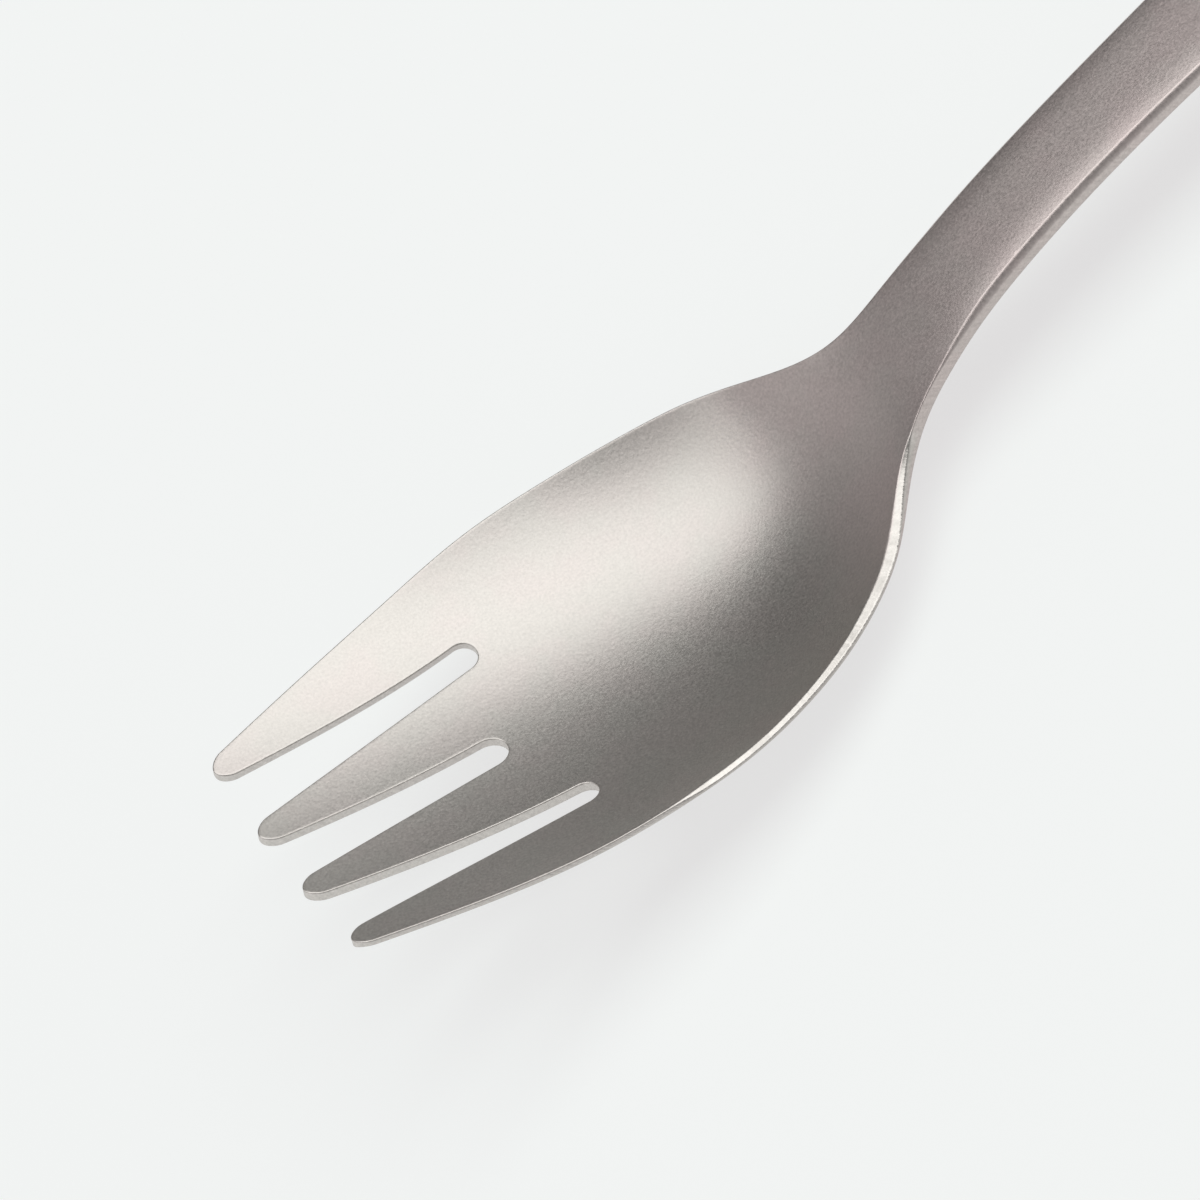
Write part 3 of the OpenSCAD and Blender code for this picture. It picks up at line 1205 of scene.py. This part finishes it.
    @staticmethod
    def _ramp(bench: Bench, value: Wire, over: Stretch) -> Wire:
        """Spreads a part of a value's range over 0 to 1.

        Args:
            bench: The tree.
            value: The value.
            over: What becomes 0 and what becomes 1.

        Returns:
            The spread value.
        """
        node = bench.add("ShaderNodeMapRange", {0: value, 1: over[0], 2: over[1]}, interpolation_type="SMOOTHSTEP")
        return bench.wire(node.outputs[0])


@dataclass(frozen=True)
class PaleCard:
    """The matte pale card of the studio floor.

    Attributes:
        colour: Its colour under the lamp.
        lift: How much the camera, and the metal's reflections, see it brighter than that.
    """

    colour: Colour = (0.28, 0.32, 0.3)
    lift: Colour = (0.646, 0.629, 0.638)

    def build(self) -> bpy.types.Material:
        """Builds the material.

        Returns:
            The material.
        """
        material = bpy.data.materials.new("pale studio card")
        material.use_nodes = True
        bench = Bench(material.node_tree)
        card = bench.add("ShaderNodeBsdfDiffuse", {"Color": (*self.colour, 1.0), "Roughness": 0.0})
        ray = bench.add("ShaderNodeLightPath").outputs
        mirrored = bench.math("MAXIMUM", bench.wire(ray["Is Glossy Ray"]), bench.wire(ray["Is Transmission Ray"]))
        seen = bench.math("MAXIMUM", bench.wire(ray["Is Camera Ray"]), mirrored)
        lift = bench.add("ShaderNodeEmission", {"Color": (*self.lift, 1.0), "Strength": seen})
        both = bench.add("ShaderNodeAddShader", {0: card.outputs[0], 1: lift.outputs[0]})
        bench.add("ShaderNodeOutputMaterial", {"Surface": both.outputs[0]})
        return material


# ---------------------------------------------------------------- the spork


@dataclass
class Spork:
    """The spork: one sheet of titanium with four tines, a bowl, a neck and a handle.

    Attributes:
        form: The form that it is pressed to.
        finish: The finish of its metal.
    """

    form: SporkForm = field(default_factory=SporkForm)
    finish: BlastedTitanium = field(default_factory=BlastedTitanium)

    def build(self) -> bpy.types.Object:
        """Cuts the blank, presses it and dresses it.

        Returns:
            The finished sheet, riding on the CAD body and standing for all its sections.
        """
        blank_sheet = Blank(self.form)
        sheet = bpy.data.objects.new("spork_sheet", blank_sheet.cut())
        bpy.context.scene.collection.objects.link(sheet)
        press = Press(blank_sheet, start=self._start())
        modifier = sheet.modifiers.new("press", "NODES")
        modifier.node_group = press.tree()
        values = press.sizes() | {"Metal": self.finish.build()}
        for item in modifier.node_group.interface.items_tree:
            if item.in_out == "INPUT" and item.name in values:
                modifier[item.identifier] = values[item.name]
        sheet.update_tag()
        graph = bpy.context.evaluated_depsgraph_get()
        ready = sheet.evaluated_get(graph)
        pressed = bpy.data.meshes.new_from_object(ready, preserve_all_data_layers=True, depsgraph=graph)
        sheet.modifiers.remove(modifier)
        blank, sheet.data = sheet.data, pressed
        bpy.data.meshes.remove(blank)
        pressed.name = "spork sheet"
        self._tidy(pressed)
        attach(sheet, "root")
        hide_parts(*[section.value for section in Section])
        return sheet

    def _start(self) -> float:
        """Returns where the tips of the inner tines lie along the model, in mm."""
        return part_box(Section.HANDLE.value)[1][0] / MM - self.form.length

    @staticmethod
    def _tidy(mesh: bpy.types.Mesh) -> None:
        """Removes the marks that only the press needs.

        Args:
            mesh: The pressed sheet.
        """
        used = {"cut", "polish", "along", "depth", "filed"}
        names = [a.name for a in mesh.attributes if a.data_type == "FLOAT" and a.domain == "POINT"]
        for name in names:
            if name not in used:
                mesh.attributes.remove(mesh.attributes[name])


# ---------------------------------------------------------------- the studio


@dataclass(frozen=True)
class SoftBox:
    """A long soft lamp that hangs over the spork and faces it.

    Attributes:
        name: What it is called.
        lean: Degrees from straight up to where it hangs, seen from the spork.
        azimuth: Degrees round the spork to where it hangs; 0 is towards the handle's end and 90 to its left.
        distance: How far it hangs from the spork, in metres.
        turn: Degrees that its long side is turned round its own axis.
        size: Its short and its long side, in metres.
        glow: How bright its face is; 1 is white.
    """

    name: str
    lean: float
    azimuth: float
    distance: float
    turn: float
    size: tuple[float, float]
    glow: float

    def hang(self) -> bpy.types.Object:
        """Hangs the lamp.

        Returns:
            The lamp.
        """
        light = bpy.data.lights.new(self.name, "AREA")
        light.shape = "RECTANGLE"
        light.size, light.size_y = self.size
        light.energy = self.glow * math.pi * self.size[0] * self.size[1]
        lamp = bpy.data.objects.new(self.name, light)
        lean, azimuth = math.radians(self.lean), math.radians(self.azimuth)
        way = Vector((math.sin(lean) * math.cos(azimuth), math.sin(lean) * math.sin(azimuth), math.cos(lean)))
        lamp.location = way * self.distance
        lamp.rotation_mode = "QUATERNION"
        lamp.rotation_quaternion = way.to_track_quat("Z", "Y") @ Quaternion((0, 0, 1), math.radians(self.turn))
        bpy.context.scene.collection.objects.link(lamp)
        return lamp


@dataclass(frozen=True)
class Viewpoint:
    """The camera at the photograph's viewing angle.

    Attributes:
        aim: The point in the middle of the picture, in metres.
        distance: How far the camera is from it.
        azimuth: Degrees round the spork; 0 looks along +Y.
        elevation: Degrees above the floor.
        roll: Degrees that the camera is turned round its own axis.
        lens: Focal length, in mm.
        sensor: Width of the sensor, in mm.
        sharp: The nearest and the furthest that the camera sees, in metres.
    """

    aim: Point = (-0.04887, 0.005995, 0.00575)
    distance: float = 0.470138
    azimuth: float = -5.593
    elevation: float = 49.823
    roll: float = 50.26
    lens: float = 165.0
    sensor: float = 36.0
    sharp: Stretch = (0.01, 50.0)

    def set_up(self) -> bpy.types.Object:
        """Stands the camera up and makes it the scene's own.

        Returns:
            The camera.
        """
        round_, up_ = math.radians(self.azimuth), math.radians(self.elevation)
        right = Vector((math.cos(round_), -math.sin(round_), 0))
        back = Vector((-math.sin(round_) * math.cos(up_), -math.cos(round_) * math.cos(up_), math.sin(up_)))
        turn = Matrix.Rotation(math.radians(-self.roll), 4, "Z")
        axes = Matrix((right, back.cross(right), back)).transposed().to_4x4() @ turn
        camera = bpy.data.objects.new("camera", bpy.data.cameras.new("camera"))
        camera.data.lens = self.lens
        camera.data.sensor_width = self.sensor
        camera.data.clip_start, camera.data.clip_end = self.sharp
        camera.matrix_world = Matrix.Translation(Vector(self.aim) + back * self.distance) @ axes
        bpy.context.scene.collection.objects.link(camera)
        bpy.context.scene.camera = camera
        return camera


@dataclass(frozen=True)
class Room:
    """The plain grey room round the floor: dark overhead, and paler low down beyond both ends of the spork.

    Attributes:
        level: How bright it is, straight ahead of the middle.
        lean: How much brighter it gets towards the handle's end, towards the spork's left, and upwards.
        ends: How much brighter it gets beyond both ends of the spork, and beyond both sides.
        darkest: How bright its darkest corner is.
    """

    level: float = 0.3
    lean: Point = (-0.09, -0.15, -0.25)
    ends: tuple[float, float] = (0.735, 0.12)
    darkest: float = 0.03

    def paint(self) -> bpy.types.World:
        """Paints the room.

        Returns:
            The world.
        """
        world = bpy.data.worlds.new("room")
        world.use_nodes = True
        bench = Bench(world.node_tree)
        way = bench.add("ShaderNodeSeparateXYZ", {0: bench.add("ShaderNodeTexCoord").outputs["Generated"]})
        x, y, z = (bench.wire(way.outputs[axis]) for axis in "XYZ")
        level = x * self.lean[0] + y * self.lean[1] + z * self.lean[2] + self.level
        level = level + x * x * self.ends[0] + y * y * self.ends[1]
        paint = {"Color": (1.0, 1.0, 1.0, 1.0), "Strength": bench.math("MAXIMUM", level, self.darkest)}
        glow = bench.add("ShaderNodeBackground", paint)
        bench.add("ShaderNodeOutputWorld", {"Surface": glow.outputs[0]})
        bench.line_up()
        return world


@dataclass
class Studio:
    """A plain pale floor, one long soft lamp overhead and a plain grey room.

    Attributes:
        card: The floor's material.
        room: The room round it.
        floor_width: Width of the floor, in metres.
        lamps: The lamps.
    """

    card: PaleCard = field(default_factory=PaleCard)
    room: Room = field(default_factory=Room)
    floor_width: float = 12.0
    lamps: tuple[SoftBox, ...] = (
        SoftBox("overhead soft box", 17.8, 30.0, 2.0, -29.6, (1.66, 3.48), 1.86),
    )

    def build(self) -> None:
        """Lays the floor, paints the room and hangs the lamps."""
        self._lay_floor()
        bpy.context.scene.world = self.room.paint()
        for lamp in self.lamps:
            lamp.hang()
        bpy.context.scene.view_settings.view_transform = "Standard"

    def _lay_floor(self) -> None:
        """Lays the floor under the spork."""
        half = self.floor_width / 2
        mesh = bpy.data.meshes.new("floor")
        mesh.from_pydata([(-half, -half, 0), (half, -half, 0), (half, half, 0), (-half, half, 0)], [], [(0, 1, 2, 3)])
        mesh.materials.append(self.card.build())
        floor = bpy.data.objects.new("floor", mesh)
        bpy.context.scene.collection.objects.link(floor)


def main() -> None:
    """Builds the studio, the camera and the spork."""
    logging.basicConfig(level=logging.INFO, format="%(name)s: %(message)s")
    log.info("CAD model: %d nodes", len(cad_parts))
    Studio().build()
    log.info("studio: floor, room and lamps")
    camera = Viewpoint().set_up()
    log.info("camera: %.0f mm lens", camera.data.lens)
    sheet = Spork().build()
    log.info("%s: %d faces", sheet.name, len(sheet.data.polygons))


if __name__ == "__main__":
    main()
